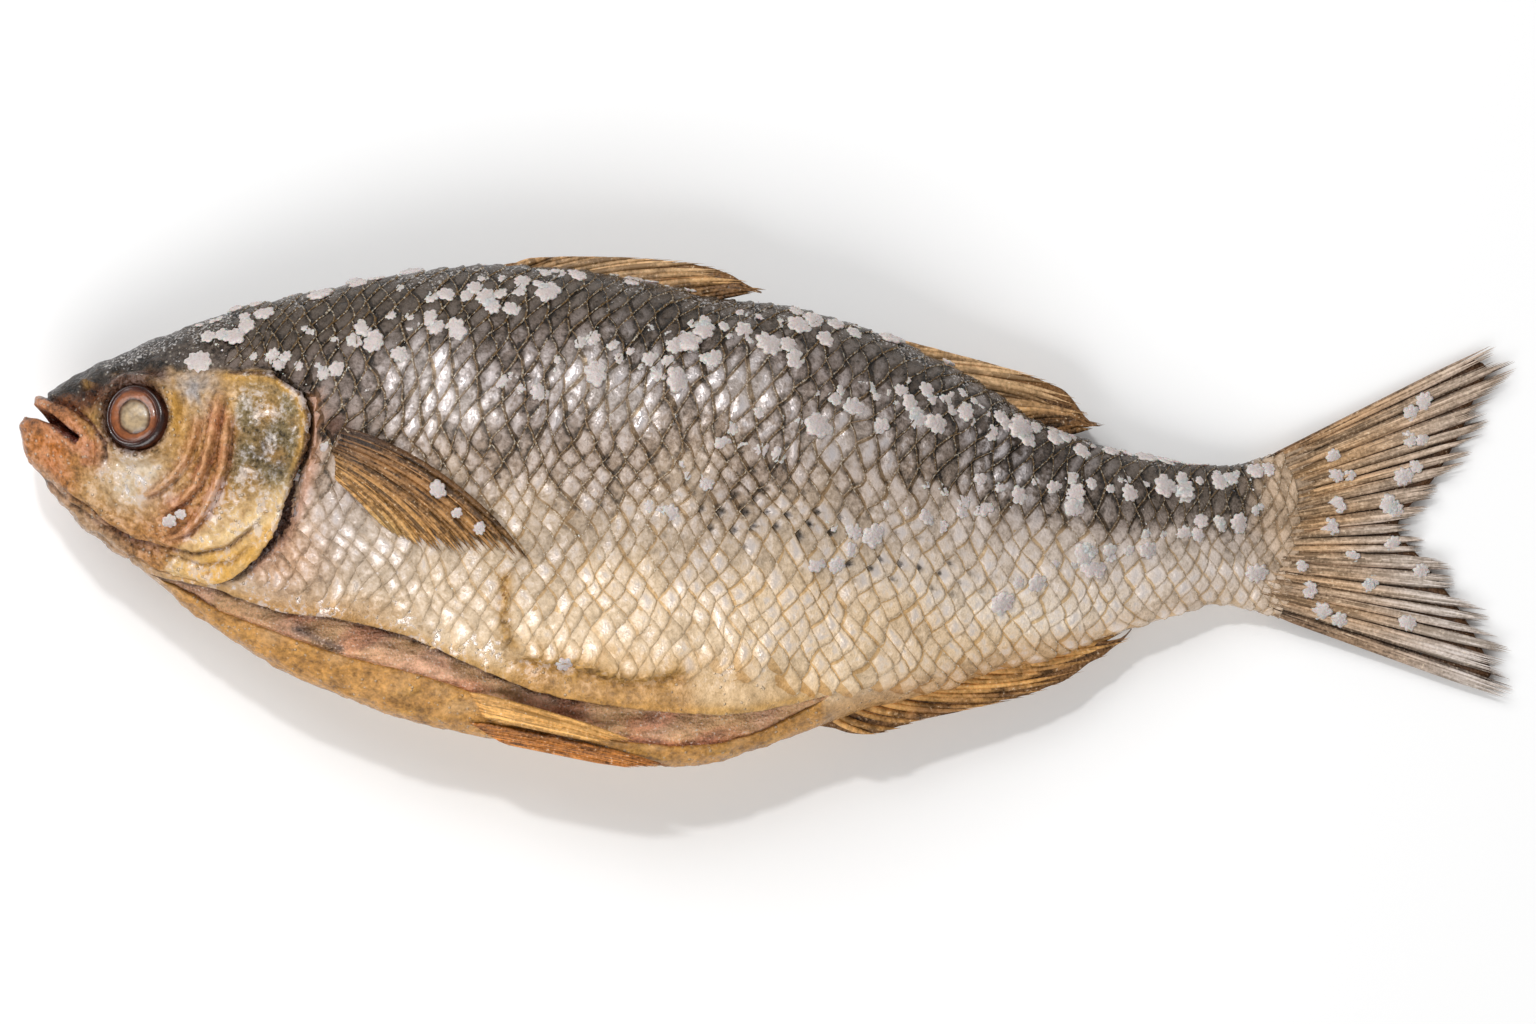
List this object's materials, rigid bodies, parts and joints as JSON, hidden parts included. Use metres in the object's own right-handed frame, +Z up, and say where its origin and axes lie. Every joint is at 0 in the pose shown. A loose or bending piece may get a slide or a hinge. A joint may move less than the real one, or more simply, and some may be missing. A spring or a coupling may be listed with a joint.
{
  "type": "fermented salted fish",
  "caption": "Whole fermented salted fish with an opened belly, lying on its side, with coarse salt grains fused to the skin.",
  "frame": {"origin": "middle of the length and depth, at the surface that the fish lies on", "axes": "+X from the snout to the tail, +Y from the belly to the back, +Z up out of the left flank"},
  "size_m": [0.299, 0.1027, 0.0458],
  "materials": {
    "fish_skin": "moist scaly skin, silver grey on the back and cream below, with coarse translucent salt grains",
    "eye": "cloudy wet eye with a coppery rim"
  },
  "bodies": {
    "root": {"fish": "fish_skin", "eye_left": "eye", "eye_right": "eye"}
  },
  "joints": []
}
